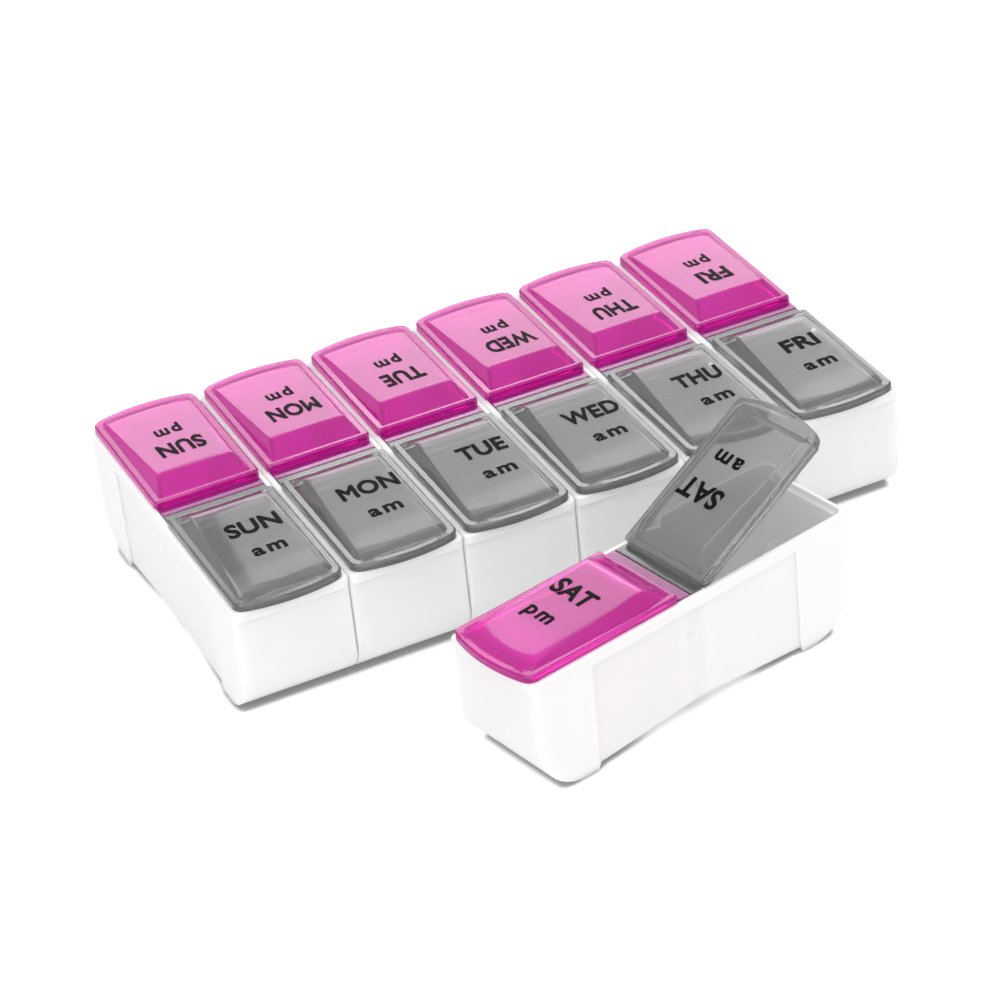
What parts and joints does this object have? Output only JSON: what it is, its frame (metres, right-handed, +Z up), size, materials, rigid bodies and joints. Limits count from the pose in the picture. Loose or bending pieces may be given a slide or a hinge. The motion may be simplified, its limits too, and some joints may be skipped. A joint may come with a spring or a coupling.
{
  "type": "weekly pill organizer",
  "caption": "Weekly pill organizer: dovetailed pods in a row, each with a morning and an evening compartment under domed hinged lids, and one pod unhooked in front.",
  "frame": {"origin": "middle of the whole set's footprint, on the table", "axes": "+Z up, +X along the row from the first pod to the sixth, +Y towards the evening side"},
  "size_m": [0.1866, 0.1688, 0.0584],
  "materials": {
    "tray": "satin white moulded plastic",
    "smoke_lid": "glossy translucent smoke grey",
    "magenta_lid": "glossy translucent magenta"
  },
  "bodies": {
    "pod_sun": {"tray_sun": "tray", "hinge_strip_am_sun": "smoke_lid", "hinge_strip_pm_sun": "magenta_lid"},
    "lid_am_sun": {"lid_am_sun": "smoke_lid"},
    "lid_pm_sun": {"lid_pm_sun": "magenta_lid"},
    "pod_mon": {"tray_mon": "tray", "hinge_strip_am_mon": "smoke_lid", "hinge_strip_pm_mon": "magenta_lid"},
    "lid_am_mon": {"lid_am_mon": "smoke_lid"},
    "lid_pm_mon": {"lid_pm_mon": "magenta_lid"},
    "pod_tue": {"tray_tue": "tray", "hinge_strip_am_tue": "smoke_lid", "hinge_strip_pm_tue": "magenta_lid"},
    "lid_am_tue": {"lid_am_tue": "smoke_lid"},
    "lid_pm_tue": {"lid_pm_tue": "magenta_lid"},
    "pod_wed": {"tray_wed": "tray", "hinge_strip_am_wed": "smoke_lid", "hinge_strip_pm_wed": "magenta_lid"},
    "lid_am_wed": {"lid_am_wed": "smoke_lid"},
    "lid_pm_wed": {"lid_pm_wed": "magenta_lid"},
    "pod_thu": {"tray_thu": "tray", "hinge_strip_am_thu": "smoke_lid", "hinge_strip_pm_thu": "magenta_lid"},
    "lid_am_thu": {"lid_am_thu": "smoke_lid"},
    "lid_pm_thu": {"lid_pm_thu": "magenta_lid"},
    "pod_fri": {"tray_fri": "tray", "hinge_strip_am_fri": "smoke_lid", "hinge_strip_pm_fri": "magenta_lid"},
    "lid_am_fri": {"lid_am_fri": "smoke_lid"},
    "lid_pm_fri": {"lid_pm_fri": "magenta_lid"},
    "pod_sat": {"tray_sat": "tray", "hinge_strip_am_sat": "smoke_lid", "hinge_strip_pm_sat": "magenta_lid"},
    "lid_am_sat": {"lid_am_sat": "smoke_lid"},
    "lid_pm_sat": {"lid_pm_sat": "magenta_lid"}
  },
  "joints": [
    {"name": "open_am_sun", "type": "hinge", "parent": "pod_sun", "child": "lid_am_sun", "pos_m": [-0.07785, 0.02813, 0.0333], "axis": [-1, 0, 0], "range_deg": [0, 80]},
    {"name": "open_pm_sun", "type": "hinge", "parent": "pod_sun", "child": "lid_pm_sun", "pos_m": [-0.07785, 0.03593, 0.0333], "axis": [1, 0, 0], "range_deg": [0, 80]},
    {"name": "lift_mon", "type": "slide", "parent": "pod_sun", "child": "pod_mon", "axis": [0, 0, 1], "range_m": [0, 0.03]},
    {"name": "open_am_mon", "type": "hinge", "parent": "pod_mon", "child": "lid_am_mon", "pos_m": [-0.04685, 0.02813, 0.0333], "axis": [-1, 0, 0], "range_deg": [0, 80]},
    {"name": "open_pm_mon", "type": "hinge", "parent": "pod_mon", "child": "lid_pm_mon", "pos_m": [-0.04685, 0.03593, 0.0333], "axis": [1, 0, 0], "range_deg": [0, 80]},
    {"name": "lift_tue", "type": "slide", "parent": "pod_mon", "child": "pod_tue", "axis": [0, 0, 1], "range_m": [0, 0.03]},
    {"name": "open_am_tue", "type": "hinge", "parent": "pod_tue", "child": "lid_am_tue", "pos_m": [-0.01585, 0.02813, 0.0333], "axis": [-1, 0, 0], "range_deg": [0, 80]},
    {"name": "open_pm_tue", "type": "hinge", "parent": "pod_tue", "child": "lid_pm_tue", "pos_m": [-0.01585, 0.03593, 0.0333], "axis": [1, 0, 0], "range_deg": [0, 80]},
    {"name": "lift_wed", "type": "slide", "parent": "pod_tue", "child": "pod_wed", "axis": [0, 0, 1], "range_m": [0, 0.03]},
    {"name": "open_am_wed", "type": "hinge", "parent": "pod_wed", "child": "lid_am_wed", "pos_m": [0.01515, 0.02813, 0.0333], "axis": [-1, 0, 0], "range_deg": [0, 80]},
    {"name": "open_pm_wed", "type": "hinge", "parent": "pod_wed", "child": "lid_pm_wed", "pos_m": [0.01515, 0.03593, 0.0333], "axis": [1, 0, 0], "range_deg": [0, 80]},
    {"name": "lift_thu", "type": "slide", "parent": "pod_wed", "child": "pod_thu", "axis": [0, 0, 1], "range_m": [0, 0.03]},
    {"name": "open_am_thu", "type": "hinge", "parent": "pod_thu", "child": "lid_am_thu", "pos_m": [0.04615, 0.02813, 0.0333], "axis": [-1, 0, 0], "range_deg": [0, 80]},
    {"name": "open_pm_thu", "type": "hinge", "parent": "pod_thu", "child": "lid_pm_thu", "pos_m": [0.04615, 0.03593, 0.0333], "axis": [1, 0, 0], "range_deg": [0, 80]},
    {"name": "lift_fri", "type": "slide", "parent": "pod_thu", "child": "pod_fri", "axis": [0, 0, 1], "range_m": [0, 0.03]},
    {"name": "open_am_fri", "type": "hinge", "parent": "pod_fri", "child": "lid_am_fri", "pos_m": [0.07715, 0.02813, 0.0333], "axis": [-1, 0, 0], "range_deg": [0, 80]},
    {"name": "open_pm_fri", "type": "hinge", "parent": "pod_fri", "child": "lid_pm_fri", "pos_m": [0.07715, 0.03593, 0.0333], "axis": [1, 0, 0], "range_deg": [0, 80]},
    {"name": "lift_sat", "type": "slide", "parent": "pod_sun", "child": "pod_sat", "axis": [0, 0, 1], "range_m": [0, 0.03]},
    {"name": "open_am_sat", "type": "hinge", "parent": "pod_sat", "child": "lid_am_sat", "pos_m": [0.00414, -0.05697, 0.0333], "axis": [0.2351, -0.972, 0], "range_deg": [-29.3, 50.7]},
    {"name": "open_pm_sat", "type": "hinge", "parent": "pod_sat", "child": "lid_pm_sat", "pos_m": [-0.00344, -0.0588, 0.0333], "axis": [-0.2351, 0.972, 0], "range_deg": [0, 80]}
  ]
}
